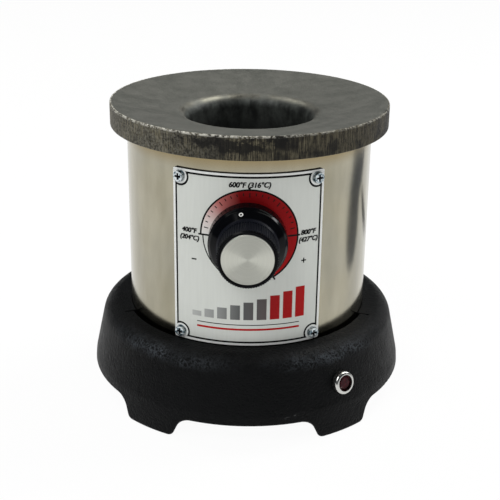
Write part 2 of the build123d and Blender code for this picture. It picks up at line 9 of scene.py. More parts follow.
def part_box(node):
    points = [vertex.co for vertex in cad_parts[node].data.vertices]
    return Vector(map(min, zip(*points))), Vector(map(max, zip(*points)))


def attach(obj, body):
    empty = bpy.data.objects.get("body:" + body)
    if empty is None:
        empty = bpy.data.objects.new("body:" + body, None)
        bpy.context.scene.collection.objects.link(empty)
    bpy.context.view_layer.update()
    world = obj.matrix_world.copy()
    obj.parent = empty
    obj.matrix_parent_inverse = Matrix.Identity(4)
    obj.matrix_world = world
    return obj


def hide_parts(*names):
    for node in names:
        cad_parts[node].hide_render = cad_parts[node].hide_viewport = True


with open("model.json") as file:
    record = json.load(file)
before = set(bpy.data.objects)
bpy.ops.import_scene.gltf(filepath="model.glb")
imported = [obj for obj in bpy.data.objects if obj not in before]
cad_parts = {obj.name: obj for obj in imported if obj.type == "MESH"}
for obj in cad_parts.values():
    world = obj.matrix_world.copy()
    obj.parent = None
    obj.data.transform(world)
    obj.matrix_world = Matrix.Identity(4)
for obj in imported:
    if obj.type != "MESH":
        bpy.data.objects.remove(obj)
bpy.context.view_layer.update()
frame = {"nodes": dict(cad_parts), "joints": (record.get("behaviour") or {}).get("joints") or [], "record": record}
MM = 0.001

# Tolerances of places that count as one
slack = 0.001 * MM
fine_slack = 0.0001 * MM

# Sizes taken from the frame, in metres
plate_low, plate_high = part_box("control_plate")
crucible_low, crucible_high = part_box("crucible")
knob_low, knob_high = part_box("knob_body")
_, shell_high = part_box("outer_shell")
_, base_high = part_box("base_casting")
_, screws_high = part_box("plate_screws")
plate_radius = -plate_low.y
plate_middle = (plate_low.z + plate_high.z) / 2
plate_half_height = (plate_high.z - plate_low.z) / 2
plate_half_width = plate_radius * math.asin(plate_high.x / plate_radius)
flange_radius = crucible_high.x
flange_top = crucible_high.z
shell_radius = shell_high.x
shell_top = shell_high.z
deck_height = base_high.z
dial_height = frame["joints"][0]["pos_m"][2]
skirt_radius = knob_high.x
knob_front = knob_low.y

# Sizes of the plate's screws
screw_head_radius = 2.65 * MM
screw_inset = plate_high.z + screw_head_radius - screws_high.z
recess_radius = 1.75 * MM
recess_top = plate_radius + 1.6 * MM

# Sizes of the crucible's section, which its worn casting repeats
well_radius = 28.3 * MM
well_depth = 35.88 * MM
flange_edge = 10.48 * MM
dish_drop = 6.2 * MM
mouth_reach = 4.9884 * MM
well_floor_round = 8.0 * MM
spigot_radius = 54.24 * MM
spigot_depth = 3.0 * MM
cup_radius = 32.5 * MM
cup_root_bevel = 2.5 * MM
cup_foot_bevel = 5.0 * MM
rim_break = 0.7 * MM
rod_circle_radius = 42.5 * MM
rod_boss_radius = 5.0 * MM
rod_boss_height = 10.0 * MM
rod_boss_root = 0.5 * MM
rod_hole_radius = 2.55 * MM
rod_hole_depth = 8.0 * MM
rod_boss_steps = 32
rod_turns = (60, 180, 300)
well_floor = flange_top - well_depth
flange_under = flange_top - flange_edge
spigot_bottom = flange_under - spigot_depth
dish_slope = dish_drop / (flange_radius - well_radius)

# Wear of the crucible's rim
crucible_steps = 720
dish_cuts = 5
rim_cuts = 9
sharp_turn = math.radians(40)
chatter_per_radian = 130
chatter_up_rim = 0.8
chatter_layer = 3.0
chatter_depth = 0.05 * MM
fine_chips_per_metre = 900
fine_chip_floor = 0.15
coarse_chips_per_metre = 330
coarse_chip_floor = 0.3
face_chip_depth = 0.06 * MM
corner_chip_depth = 0.5 * MM
corner_power = 6

# Sizes of the plate's print, with places across and up from the dial's centre
border_inset = 1.5 * MM
border_line = 0.44 * MM
notch_radius = 3.9 * MM
dial_across = 0.6 * MM
dial_ring_radius = 21.1 * MM
dial_line = 0.38 * MM
low_ring_radius = 20.1 * MM
low_ring_line = 0.26 * MM
band_start = math.radians(-90)
band_end = math.radians(150)
tick_width = 0.75 * MM
stroke_count = 10
stroke_spacing = 8
long_stroke_every = 5
stroke_inner = 18.7 * MM
long_stroke_inner = 17.9 * MM
stroke_outer = 19.9 * MM
stroke_width = 0.4 * MM
sign_across = 24.3 * MM
sign_length = 2.3 * MM
minus_up = -11.9 * MM
minus_line = 0.6 * MM
plus_up = -12.1 * MM
plus_line = 0.55 * MM
level_count = 9
level_reach = 26 * MM
level_foot = -38.5 * MM
lowest_level = 2.4 * MM
level_growth = 1.5 * MM
level_share = 0.74
rule_width = 46 * MM
ink_thickness = 0.05 * MM
ink_lift = 0.03 * MM
bend_step = 1.0 * MM
capital_share = 0.7
text_slant = 0.2
text_strike = 0.14 * MM
text_steps = ((-1, -1, 0), (2, 0, 0.2), (0, 1, 0.2), (-2, 0, 0.2))
face_skin = 0.05 * MM

# Sizes of the knob, with the index dot on its skirt
grip_radius = 13.0 * MM
skirt_rise = 4.2 * MM
skirt_lean = math.atan2(skirt_radius - grip_radius, skirt_rise)
skirt_edge_round = 1.3 * MM
dot_turn = math.radians(11.5)
dot_reach = 14.6 * MM
dot_stand = 68.2 * MM
dot_outer = 0.9 * MM
dot_inner = 0.46 * MM
dot_height = 0.12 * MM
dot_steps = 32

# Sizes and places of the stage, in metres, and the level of its light
object_middle = Vector((0, 0, 0.08))
floor_radius = 6.0
floor_tone = (0.82, 0.82, 0.81, 1)
floor_white = 0.95
drape_radius = 2.4
drape_height = 1.6
drape_back = 0.8
right_card_place = Vector((0.62, 0.34, 1.1))
right_card_size = 0.7
left_card_place = Vector((-0.62, 0.34, 1.1))
left_card_size = 0.6
strip_lift = 0.5 * MM
wide_strip_corners = (
    (0.435, 0.160), (0.340, 0.075), (0.262, 0.039), (0.207, 0.024), (0.187, 0.031),
    (0.188, 0.064), (0.223, 0.113), (0.278, 0.160), (0.303, 0.236), (0.338, 0.288),
)
thin_strip_corners = (
    (0.288, 0.188), (0.234, 0.188), (0.180, 0.180), (0.130, 0.157),
    (0.122, 0.174), (0.175, 0.198), (0.234, 0.206), (0.293, 0.206),
)
sky_level = 0.45

# Name, place, size and power of each lamp
soft_boxes = (
    ("key_light", Vector((-0.55, -0.75, 1.1)), 0.7, 9.0),
    ("back_right_light", Vector((0.6, 0.5, 1.15)), 0.36, 6.5),
    ("back_left_light", Vector((-0.6, 0.5, 1.15)), 0.36, 4.0),
    ("fill_light", Vector((0.85, 0.33, 0.62)), 0.25, 4.0),
)

# The photograph's viewpoint and framing
camera_place = Vector((0, -0.471418, 0.252241))
camera_pitch = 0.382
camera_roll = 0.013
camera_lens = 75.94
camera_shift_x = 0.0045
camera_shift_y = -0.0007
camera_clip = 0.01


# Colour and shader expressions


def srgb(red, green, blue):
    """A colour given as it looks in a picture, 0 to 255, in the linear form that shaders take."""
    shares = [channel / 255 for channel in (red, green, blue)]
    linear = [s / 12.92 if s <= 0.04045 else ((s + 0.055) / 1.055) ** 2.4 for s in shares]
    return (*linear, 1.0)


class Field:
    """A value that varies: a node's output, on which arithmetic adds Math nodes."""

    def __init__(self, nodes, socket):
        self.nodes = nodes
        self.socket = socket

    def __add__(self, other):
        return self.nodes.math("ADD", self, other)

    def __radd__(self, other):
        return self.nodes.math("ADD", other, self)

    def __sub__(self, other):
        return self.nodes.math("SUBTRACT", self, other)

    def __rsub__(self, other):
        return self.nodes.math("SUBTRACT", other, self)

    def __mul__(self, other):
        return self.nodes.math("MULTIPLY", self, other)

    def __rmul__(self, other):
        return self.nodes.math("MULTIPLY", other, self)

    def __truediv__(self, other):
        return self.nodes.math("DIVIDE", self, other)

    def __lt__(self, other):
        return self.nodes.math("LESS_THAN", self, other)

    def __gt__(self, other):
        return self.nodes.math("GREATER_THAN", self, other)

    def __abs__(self):
        return self.nodes.math("ABSOLUTE", self)


class Nodes:
    """A node tree, to which expressions add nodes."""

    def __init__(self, tree):
        self.tree = tree

    def link(self, value, socket):
        self.tree.links.new(value.socket, socket)

    def node(self, kind, settings=None, inputs=None, output=0):
        """Adds a node, sets it, gives its sockets their values or links, and returns one output."""
        made = self.tree.nodes.new(kind)
        for setting, value in (settings or {}).items():
            if setting == "stops":
                while len(made.color_ramp.elements) < len(value):
                    made.color_ramp.elements.new(1.0)
                for element, (position, colour) in zip(made.color_ramp.elements, value):
                    element.position = position
                    element.color = colour
            else:
                setattr(made, setting, value)
        for socket, value in (inputs or {}).items():
            if isinstance(value, Field):
                self.link(value, made.inputs[socket])
            else:
                made.inputs[socket].default_value = value
        return Field(self, made.outputs[output])

    def math(self, operation, *values):
        return self.node("ShaderNodeMath", {"operation": operation}, dict(enumerate(values)))

    def larger(self, first, second):
        return self.math("MAXIMUM", first, second)


class Finish(Nodes):
    """A material with one Principled shader, painted by expressions on Object coordinates."""

    def __init__(self, name, constants):
        self.material = bpy.data.materials.new(name)
        self.material.use_nodes = True
        super().__init__(self.material.node_tree)
        self.shader = self.tree.nodes["Principled BSDF"]
        for socket, value in constants.items():
            self.shader.inputs[socket].default_value = value
        self.place = self.node("ShaderNodeTexCoord", output="Object")
        self.x, self.y, self.z = [
            self.node("ShaderNodeSeparateXYZ", inputs={0: self.place}, output=axis) for axis in "XYZ"
        ]

    def length(self, first, second):
        return self.math("SQRT", first * first + second * second)

    def rise(self, value, low, high):
        """0 below low, 1 above high, and a smooth climb between."""
        settings = {"interpolation_type": "SMOOTHSTEP"}
        return self.node("ShaderNodeMapRange", settings, {0: value, 1: low, 2: high})

    def hump(self, value, middle, reach):
        """1 at the middle, falling smoothly to 0 at the reach on either side."""
        return 1 - self.rise(abs(value - middle), 0, reach)

    def blend(self, share, first, second):
        """The first colour where the share is 0, the second where it is 1."""
        settings = {"data_type": "RGBA", "clamp_factor": True}
        return self.node("ShaderNodeMix", settings, {0: share, 6: first, 7: second}, 2)

    def ramp(self, value, stops):
        return self.node("ShaderNodeValToRGB", {"stops": stops}, {0: value})

    def point(self, x, y, z):
        return self.node("ShaderNodeCombineXYZ", inputs={0: x, 1: y, 2: z})

    def grain(self, size, detail=2.0, at=None, rough=0.5):
        """Cloudy noise from 0 to 1 with features of about the given size."""
        inputs = {"Vector": at or self.place, "Scale": 1 / size, "Detail": detail, "Roughness": rough}
        return self.node("ShaderNodeTexNoise", inputs=inputs)

    def drawn_grain(self, turn, per_radian, per_metre, layer=0.0, detail=2.0, rough=0.5):
        """Noise drawn out over the pot's side, with features counted round the axis and up it."""
        at = self.point(turn * per_radian, layer, self.z * per_metre)
        return self.grain(1.0, detail, at, rough)

    def radius(self):
        """Distance from the pot's axis."""
        return self.length(self.x, self.y)

    def around(self):
        """Angle about the pot's axis, 0 at the front and growing to the right."""
        return self.math("ARCTAN2", self.x, 0 - self.y)

    def knob_radius(self):
        """Distance from the knob's axis."""
        return self.length(self.x, self.z - dial_height)

    def past_inset(self, inset):
        """How far the plate's face reaches past an inset from its edges, sideways and upwards."""
        sideways = abs(self.around() * plate_radius) - (plate_half_width - inset)
        upwards = abs(self.z - plate_middle) - (plate_half_height - inset)
        return sideways, upwards

    def paint(self, socket, value):
        self.link(value, self.shader.inputs[socket])

    def relief(self, height, depth):
        """Raises and sinks the surface's normals by a height field of the given depth."""
        inputs = {"Height": height, "Strength": 1.0, "Distance": depth}
        self.paint("Normal", self.node("ShaderNodeBump", inputs=inputs))


# Finishes


def cast_iron():
    """Bare iron: a dull ground dish, a chattered rim, a worn mouth and a sooty well."""
    iron = Finish("cast_iron_bare", {"Specular IOR Level": 0.4})
    radius = iron.radius()
    turn = iron.around()
    cloud = iron.grain(9 * MM, 5.0, rough=0.65)
    speck = iron.grain(0.7 * MM, 3.0)
    grit = iron.grain(1.0 * MM, 4.0, rough=0.7)
    chatter = iron.drawn_grain(turn, 110, 130, detail=4.0, rough=0.6)
    streak = iron.drawn_grain(turn, 5, 110, detail=4.0, rough=0.6)

    rim = iron.rise(radius, flange_radius - 1.0 * MM, flange_radius - 0.6 * MM)
    rim = rim * iron.rise(iron.z, flange_under - 1.0 * MM, flange_under - 0.2 * MM)
    hollow = 1 - iron.rise(radius, well_radius + 0.4 * MM, well_radius + 2.6 * MM)
    upper = iron.rise(iron.z, well_floor + 8 * MM, flange_top - dish_drop)
    mouth = iron.hump(radius, well_radius + 2.6 * MM, 2.4 * MM)
    mouth = mouth * iron.rise(iron.grain(1.0, 3.0, iron.point(turn * 2.6, 0, 4.0)), 0.35, 0.6)

    dish = iron.blend(iron.rise(cloud, 0.3, 0.7), srgb(85, 86, 80), srgb(99, 99, 93))
    dish = iron.blend(iron.rise(speck, 0.5, 0.8) * 0.4, dish, srgb(126, 126, 120))
    soot = iron.blend(cloud * 0.5, srgb(20, 22, 21), srgb(46, 48, 46))
    # The lighter streaks reach only the upper well, so it is darker towards the bottom
    soot = iron.blend(iron.rise(streak, 0.3, 0.8) * upper, soot, srgb(84, 88, 84))
    colour = iron.blend(mouth * 0.6, dish, srgb(132, 129, 118))
    colour = iron.blend(rim, colour, rim_colour(iron, turn, cloud, grit, chatter))
    iron.paint("Base Color", iron.blend(hollow, colour, soot))
    iron.paint("Metallic", 0.5 + mouth * 0.45)
    iron.paint("Roughness", 0.44 + speck * 0.14 + rim * 0.1 - mouth * 0.2 + (cloud - 0.5) * 0.16)
    bumps = speck * 0.5 + grit * rim * 2.0 + chatter * rim * 1.4 + streak * hollow * upper * 0.5
    iron.relief(bumps, 0.12 * MM)
    return iron.material


def rim_colour(iron, turn, cloud, grit, chatter):
    """Tones of the rim: gritty, painted paler with glinting specks on the lit left and duller on the right, darker
    at the front, and bright along its top edge with nicks of wear and a painted highlight towards the front left.
    """
    # Painted light and shade by side: the lit left is paler, with fewer dark patches and bright specks of painted
    # glint, and the right has fainter chatter and looks duller
    left = iron.rise(0 - turn, -0.1, 0.75)
    right = iron.rise(turn, 0.2, 0.6)
    patch = iron.grain(11 * MM, 3.0)
    side = iron.blend(iron.rise(grit, 0.3, 0.7), srgb(24, 22, 17), srgb(62, 57, 44))
    side = iron.blend(iron.rise(chatter, 0.44, 0.6) * (0.85 - right * 0.4), side, srgb(110, 104, 84))
    side = iron.blend(iron.rise(patch, 0.46, 0.6) * (0.8 - left * 0.4), side, srgb(18, 17, 14))
    side = iron.blend(left * iron.rise(grit, 0.36, 0.72) * 0.55, side, srgb(138, 136, 125))

    # A darker patch towards the front of the rim, near its top, with a ragged edge
    ragged = (cloud - 0.5) * 14 * MM + (grit - 0.5) * 5 * MM
    dark_front = iron.hump(iron.z + ragged, flange_top - 4.0 * MM, 4.4 * MM)
    dark_front = dark_front * iron.hump(turn + (cloud - 0.5) * 1.4, -0.1, 0.6)
    side = iron.blend(iron.rise(dark_front, 0.05, 0.6) * 0.9, side, srgb(13, 12, 10))

    # Bright top edge: nicks of wear broken by noise, with a painted highlight that strengthens towards the front
    # left, on the lit side
    edge = iron.rise(iron.z, flange_top - 1.1 * MM, flange_top - 0.5 * MM)
    worn = edge * iron.rise(iron.grain(1.6 * MM, 4.0, rough=0.75), 0.44, 0.56)
    worn = worn * (0.35 + 0.65 * iron.rise(0 - turn, -0.5, 0.2))
    return iron.blend(worn, side, srgb(188, 186, 176))


def polished_sheet():
    """Polished stainless sheet with hazy smears, heat-tinted and painted darker as shade in a narrow strip below
    the flange.
    """
    sheet = Finish("polished_sheet", {"Metallic": 1.0})
    turn = sheet.around()
    smear = sheet.rise(sheet.drawn_grain(turn, 4, 26, layer=2.0, detail=3.0), 0.28, 0.72)
    haze = sheet.rise(sheet.drawn_grain(turn, 2.5, 34, layer=9.0, detail=1.0), 0.35, 0.75)
    swell = sheet.drawn_grain(turn, 4, 22, layer=5.0, detail=1.0)
    lines = sheet.drawn_grain(turn, 7, 900, detail=3.0)
    # Heat tint with painted shade: the strip under the flange is painted darker and golden, as the flange's shade
    # falls there
    heat_tint_and_shade = sheet.rise(sheet.z, shell_top - 9 * MM, shell_top - 1 * MM)
    colour = sheet.blend(smear, srgb(150, 145, 126), srgb(172, 167, 148))
    colour = sheet.blend(haze * 0.35, colour, srgb(150, 150, 142))
    sheet.paint("Base Color", sheet.blend(heat_tint_and_shade * 0.8, colour, srgb(140, 122, 84)))
    sheet.paint("Roughness", 0.12 + lines * 0.05 + smear * 0.05)
    sheet.relief(lines * 0.02 + swell, 0.12 * MM)
    return sheet.material


def wrinkle_black():
    """Black wrinkle paint over the casting, with a painted sheen on the shoulder's front left and front right, and
    a few low scuffs.
    """
    wrinkle = Finish("wrinkle_black", {"Specular IOR Level": 0.08})
    turn = wrinkle.around()
    fold = 1 - abs(wrinkle.grain(1.7 * MM, 3.0, rough=0.6) - 0.5) * 4
    crumb = wrinkle.grain(0.6 * MM)
    swell = wrinkle.grain(8 * MM)

    # Painted sheen: the shoulder is painted brighter towards the front left and front right, broken up by the
    # wrinkles
    shoulder = wrinkle.hump(wrinkle.z, deck_height - 4 * MM, 4.5 * MM)
    shoulder = shoulder * wrinkle.rise(wrinkle.radius(), shell_radius + 5 * MM, shell_radius + 9 * MM)
    shoulder = shoulder * wrinkle.hump(abs(turn), 0.6, 0.65)
    patchy = 0.3 + 0.7 * wrinkle.rise(swell, 0.35, 0.65)
    shoulder_sheen = shoulder * wrinkle.rise(fold + crumb, 1.1, 1.5) * patchy
    low = wrinkle.hump(wrinkle.z, 13 * MM, 3 * MM) * wrinkle.hump(turn, 0.3, 0.12)
    scratch = wrinkle.grain(1.0, at=wrinkle.point(wrinkle.x * 260, 0, wrinkle.z * 1100))
    scuffed = low * wrinkle.rise(scratch, 0.6, 0.7)

    colour = wrinkle.blend(swell, srgb(5, 6, 7), srgb(11, 12, 13))
    colour = wrinkle.blend(shoulder_sheen * 0.45, colour, srgb(92, 98, 104))
    wrinkle.paint("Base Color", wrinkle.blend(scuffed * 0.7, colour, srgb(92, 92, 92)))
    wrinkle.paint("Roughness", 0.36 + swell * 0.16)
    wrinkle.relief(fold * 0.8 + crumb * 0.5 + swell * 2.0, 0.3 * MM)
    return wrinkle.material


def printed_plate():
    """Satin silver plate with its printed border, dial rings and heat band, and a painted shadow on its top edge.
    """
    plate = Finish("plate_silver", {"Metallic": 0.2, "Specular IOR Level": 0.08})
    edge = plate.larger(*plate.past_inset(border_inset))
    screw = plate.length(*plate.past_inset(screw_inset))
    outside = plate.larger(edge, notch_radius - screw)
    border = abs(outside) < border_line

    dial_side = plate.around() * plate_radius - dial_across
    dial_rise = plate.z - dial_height
    reach = plate.length(dial_side, dial_rise)
    clock = plate.math("ARCTAN2", dial_side, dial_rise)
    swept = (clock > band_start) * (clock < band_end)
    unswept = (clock < band_start) * (clock > -band_end)
    ring = (abs(reach - dial_ring_radius) < dial_line) * swept
    low_ring = (abs(reach - low_ring_radius) < low_ring_line) * unswept
    band = (reach < dial_ring_radius) * swept
    heat = plate.ramp((clock - band_start) / (band_end - band_start), [
        (0.0, srgb(214, 215, 211)),
        (0.08, srgb(216, 203, 199)),
        (0.2, srgb(178, 104, 100)),
        (0.32, srgb(118, 14, 17)),
        (0.62, srgb(134, 15, 18)),
        (1.0, srgb(164, 20, 22)),
    ])

    brushed = plate.grain(1.0, at=plate.point(plate.x * 900, 0, plate.z * 60))
    silver = plate.blend(brushed, srgb(199, 202, 197), srgb(209, 212, 207))
    colour = plate.blend(outside > 0, silver, srgb(226, 228, 226))
    colour = plate.blend(band, colour, heat)
    front = plate.radius() > plate_radius - face_skin
    black = plate.larger(border, plate.larger(ring, low_ring)) * front
    colour = plate.blend(black, colour, srgb(11, 11, 11))
    # Painted shadow: the plate's top edge face is painted near black, as the shade of the gap behind it
    top = plate.z > plate_high.z - face_skin
    plate.paint("Base Color", plate.blend(top, colour, srgb(20, 19, 17)))
    plate.paint("Roughness", 0.4 + brushed * 0.1)
    plate.relief(brushed, 0.006 * MM)
    return plate.material


def zinc_plated():
    """Bright zinc plate with a cool cast, and painted shade over the middle of the plate screws' heads, where
    their cross recesses are.
    """
    zinc = Finish("zinc_plated", {"Metallic": 1.0})
    cloud = zinc.grain(1.5 * MM, 3.0)
    colour = zinc.blend(zinc.rise(cloud, 0.4, 0.6), srgb(84, 104, 114), srgb(214, 221, 223))
    # Painted shade: a dark disc over each plate screw's cross recess
    screw = zinc.length(*zinc.past_inset(screw_inset))
    recess_shade = (screw < recess_radius) * (zinc.radius() < recess_top)
    zinc.paint("Base Color", zinc.blend(recess_shade, colour, srgb(22, 26, 29)))
    zinc.paint("Roughness", 0.18 + cloud * 0.14 + recess_shade * 0.3)
    zinc.relief(zinc.grain(0.3 * MM), 0.01 * MM)
    return zinc.material


def knob_black():
    """Gloss black moulding, with a duller grip of a cool cast and a softened edge to its skirt."""
    knob = Finish("knob_black", {"Specular IOR Level": 0.06})
    cloud = knob.grain(3 * MM, 3.0)
    radius = knob.knob_radius()
    edge = knob.rise(radius, skirt_radius - skirt_edge_round, skirt_radius)
    grip = 1 - knob.rise(radius, grip_radius, grip_radius + 0.4 * MM)
    grip = grip * knob.rise(knob.y, knob_front + 0.8 * MM, knob_front + 1.3 * MM)
    gloss = knob.blend(cloud, srgb(4, 4, 5), srgb(9, 10, 13))
    knob.paint("Base Color", knob.blend(grip, gloss, srgb(17, 19, 26)))
    knob.paint("Roughness", 0.1 + cloud * 0.1 + grip * 0.26)
    knob.relief(knob.grain(0.6 * MM) * 0.015 - edge, 0.35 * MM)
    return knob.material


def spun_aluminium():
    """Spun aluminium cap, turned in fine rings about the knob's axis."""
    spun = Finish("spun_aluminium", {"Metallic": 1.0})
    ring_pitch = 0.2 * MM
    radius = spun.knob_radius()
    rings = spun.math("SINE", radius * (2 * math.pi / ring_pitch))
    uneven = spun.grain(1.0, 3.0, spun.point(radius * 2500, 0, 0))
    spun.paint("Base Color", spun.blend(uneven, srgb(174, 175, 166), srgb(204, 205, 195)))
    spun.paint("Roughness", 0.24 + uneven * 0.1)
    spun.relief(rings * 0.5 + uneven * 0.6, 0.03 * MM)
    return spun.material


def plain_metal(name, dark, light, roughness):
    """A bare metal with cloudy tone and a mill finish."""
    metal = Finish(name, {"Metallic": 1.0})
    cloud = metal.grain(6 * MM, 3.0)
    metal.paint("Base Color", metal.blend(cloud, dark, light))
    metal.paint("Roughness", roughness + cloud * 0.14)
    metal.relief(metal.grain(0.5 * MM), 0.01 * MM)
    return metal.material


def lamp_red():
    """Dark red lens, moulded in small cells that are darker towards their edges."""
    lens = Finish("lamp_red", {"Specular IOR Level": 0.14})
    cell_size = 1.5 * MM
    cell = lens.node("ShaderNodeTexVoronoi", inputs={"Vector": lens.place, "Scale": 1 / cell_size})
    lens.paint("Base Color", lens.blend(cell, srgb(64, 11, 19), srgb(24, 7, 8)))
    lens.paint("Roughness", 0.14 + cell * 0.1)
    lens.relief(cell, 0.12 * MM)
    return lens.material


def black_moulding():
    """Plain black moulding with a fine grain."""
    moulding = Finish("black_moulding", {"Specular IOR Level": 0.2})
    grain = moulding.grain(0.4 * MM, 3.0)
    moulding.paint("Base Color", moulding.blend(grain, srgb(16, 16, 17), srgb(31, 31, 32)))
    moulding.paint("Roughness", 0.45 + grain * 0.2)
    moulding.relief(grain, 0.03 * MM)
    return moulding.material


def fibre_wool():
    """Pale felted mineral fibre."""
    wool = Finish("fibre_wool", {})
    tangle = wool.grain(1.2 * MM, 5.0, rough=0.7)
    wool.paint("Base Color", wool.blend(tangle, srgb(196, 190, 170), srgb(232, 228, 214)))
    wool.paint("Roughness", 0.85 + tangle * 0.1)
    wool.relief(tangle, 0.5 * MM)
    return wool.material


def print_ink(name, dark, light):
    """Screen ink, slightly uneven in tone."""
    ink = Finish(name, {"Specular IOR Level": 0.1})
    cloud = ink.grain(1.2 * MM)
    ink.paint("Base Color", ink.blend(cloud, dark, light))
    ink.paint("Roughness", 0.45 + cloud * 0.15)
    return ink.material


def level_ink():
    """Screen ink of the level bars, from grey on the left to red on the right."""
    ink = Finish("level_ink", {"Specular IOR Level": 0.1})
    colour = ink.ramp((ink.x + level_reach) / (2 * level_reach), [
        (0.0, srgb(178, 180, 178)),
        (0.45, srgb(86, 88, 88)),
        (0.67, srgb(92, 84, 84)),
        (0.685, srgb(150, 20, 22)),
        (1.0, srgb(168, 20, 22)),
    ])
    ink.paint("Base Color", colour)
    ink.paint("Roughness", 0.45 + ink.grain(1.2 * MM) * 0.15)
    return ink.material


finishes = {
    "cast_iron_bare": cast_iron(),
    "polished_sheet": polished_sheet(),
    "wrinkle_black": wrinkle_black(),
    "plate_silver": printed_plate(),
    "zinc_plated": zinc_plated(),
    "knob_black": knob_black(),
    "spun_aluminium": spun_aluminium(),
    "plain_steel": plain_metal("plain_steel", srgb(150, 148, 142), srgb(186, 184, 178), 0.3),
    "brass_plain": plain_metal("brass_plain", srgb(176, 140, 70), srgb(210, 176, 104), 0.26),
    "bright_chrome": plain_metal("bright_chrome", srgb(190, 190, 186), srgb(214, 214, 210), 0.16),
    "lamp_red": lamp_red(),
    "black_moulding": black_moulding(),
    "fibre_wool": fibre_wool(),
}
black_ink = print_ink("black_ink", srgb(10, 10, 10), srgb(22, 22, 22))
red_ink = print_ink("red_ink", srgb(158, 18, 22), srgb(176, 26, 28))
white_ink = print_ink("white_ink", srgb(214, 214, 210), srgb(236, 236, 232))

for subpart in frame["record"]["subparts"]:
    node_mesh = frame["nodes"][subpart["node"]].data
    node_mesh.materials.clear()
    node_mesh.materials.append(finishes[subpart["material_slot"]])


# New pieces


def make_object(name, shape, material):
    """Makes an object of a finished shape, at the origin, in one material."""
    mesh = bpy.data.meshes.new(name)
    shape.to_mesh(mesh)
    shape.free()
    mesh.materials.append(material)
    made = bpy.data.objects.new(name, mesh)
    bpy.context.scene.collection.objects.link(made)
    return made


def piece(name, shape, body, material):
    """Makes a piece of the pot, which rides on a body, in the given finish."""
    made = make_object(name, shape, material)
    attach(made, body)
    return made


def roll_on_plate(shape):
    """Bends a flat shape, x across and y up from the dial's centre, onto the plate's face."""
    for vert in shape.verts:
        across, up, out = vert.co
        turn = (across + dial_across) / plate_radius
        reach = plate_radius + ink_lift + out
        vert.co = (reach * math.sin(turn), -reach * math.cos(turn), dial_height + up)


def lay_text(shape, words, height, width, across, up):
    """Adds slanted words to a flat shape, struck four times a little apart so that they look bold."""
    curve = bpy.data.curves.new("dial_text", "FONT")
    curve.body = words
    curve.size = height / capital_share
    curve.extrude = ink_thickness / 2
    curve.shear = text_slant
    holder = bpy.data.objects.new("dial_text", curve)
    bpy.context.scene.collection.objects.link(holder)
    bpy.context.view_layer.update()
    mesh = bpy.data.meshes.new_from_object(holder)
    lefts = [vert.co.x for vert in mesh.vertices]
    squeeze = width / (max(lefts) - min(lefts))
    middle = Vector(((max(lefts) + min(lefts)) / 2, height / 2, 0))
    mesh.transform(Matrix.Translation(-middle))
    mesh.transform(Matrix.Diagonal((squeeze, 1, 1, 1)))
    mesh.transform(Matrix.Translation((across, up, 0)))
    for step in text_steps:
        mesh.transform(Matrix.Translation(Vector(step) * text_strike))
        shape.from_mesh(mesh)
    bpy.data.objects.remove(holder)
    bpy.data.curves.remove(curve)
    bpy.data.meshes.remove(mesh)


def lay_bar(shape, width, height, across, up, turn=0.0):
    """Adds a thin bar to a flat shape, turned about its own centre and cut so that it can bend."""
    place = Matrix.Translation((across, up, 0)) @ Matrix.Rotation(turn, 4, "Z")
    size = Matrix.Diagonal((width, height, ink_thickness, 1))
    corners = bmesh.ops.create_cube(shape, size=1.0, matrix=place @ size)["verts"]
    edges = {edge for vert in corners for edge in vert.link_edges}
    longest = max(edge.calc_length() for edge in edges)
    long_edges = [edge for edge in edges if edge.calc_length() > 0.9 * longest]
    bmesh.ops.subdivide_edges(shape, edges=long_edges, cuts=int(longest / bend_step), use_grid_fill=True)


def lay_spoke(shape, clock, inner, outer, width):
    """Adds a bar that points at the dial's centre, at so many degrees from the top."""
    angle = math.radians(clock)
    reach = (inner + outer) / 2
    lay_bar(shape, width, outer - inner, reach * math.sin(angle), reach * math.cos(angle), -angle)


def dial_numbers():
    """Temperatures at the dial's top, left and right."""
    shape = bmesh.new()
    for words, height, width, across, up in (
        ("600°F (316°C)", 2.25, 17.4, 0, 23.4),
        ("400°F", 2.1, 7.2, -26.4, 1.2),
        ("(204°C)", 2.1, 9.0, -26.4, -2.1),
        ("800°F", 2.1, 7.2, 26.3, 0.9),
        ("(427°C)", 2.1, 9.0, 26.3, -2.4),
    ):
        lay_text(shape, words, height * MM, width * MM, across * MM, up * MM)
    bmesh.ops.remove_doubles(shape, verts=shape.verts, dist=fine_slack)
    roll_on_plate(shape)
    piece("dial_numbers", shape, "pot", black_ink)


def dial_marks():
    """Ticks of the dial, a scale of short strokes on its band, and the minus and plus signs."""
    shape = bmesh.new()
    for clock, inner, outer in ((-90, 16.6, 22.2), (90, 16.6, 22.2), (0, 21.0, 22.3), (150, 20.8, 22.6)):
        lay_spoke(shape, clock, inner * MM, outer * MM, tick_width)
    for step in range(-stroke_count, stroke_count + 1):
        inner = long_stroke_inner if step % long_stroke_every == 0 else stroke_inner
        lay_spoke(shape, stroke_spacing * step, inner, stroke_outer, stroke_width)
    lay_bar(shape, sign_length, minus_line, -sign_across, minus_up)
    lay_bar(shape, sign_length, plus_line, sign_across, plus_up)
    lay_bar(shape, plus_line, sign_length, sign_across, plus_up)
    roll_on_plate(shape)
    piece("dial_marks", shape, "pot", black_ink)


def level_bars():
    """A row of bars that grow from low on the left to high on the right."""
    shape = bmesh.new()
    pitch = 2 * level_reach / level_count
    for step in range(level_count):
        height = lowest_level + level_growth * step
        across = -level_reach + (step + 0.5) * pitch
        lay_bar(shape, level_share * pitch, height, across, level_foot + height / 2)
    roll_on_plate(shape)
    piece("level_bars", shape, "pot", level_ink())


def plate_rule(name, height, up, ink):
    """A printed line across the lower part of the plate."""
    shape = bmesh.new()
    lay_bar(shape, rule_width, height, 0, up)
    roll_on_plate(shape)
    piece(name, shape, "pot", ink)


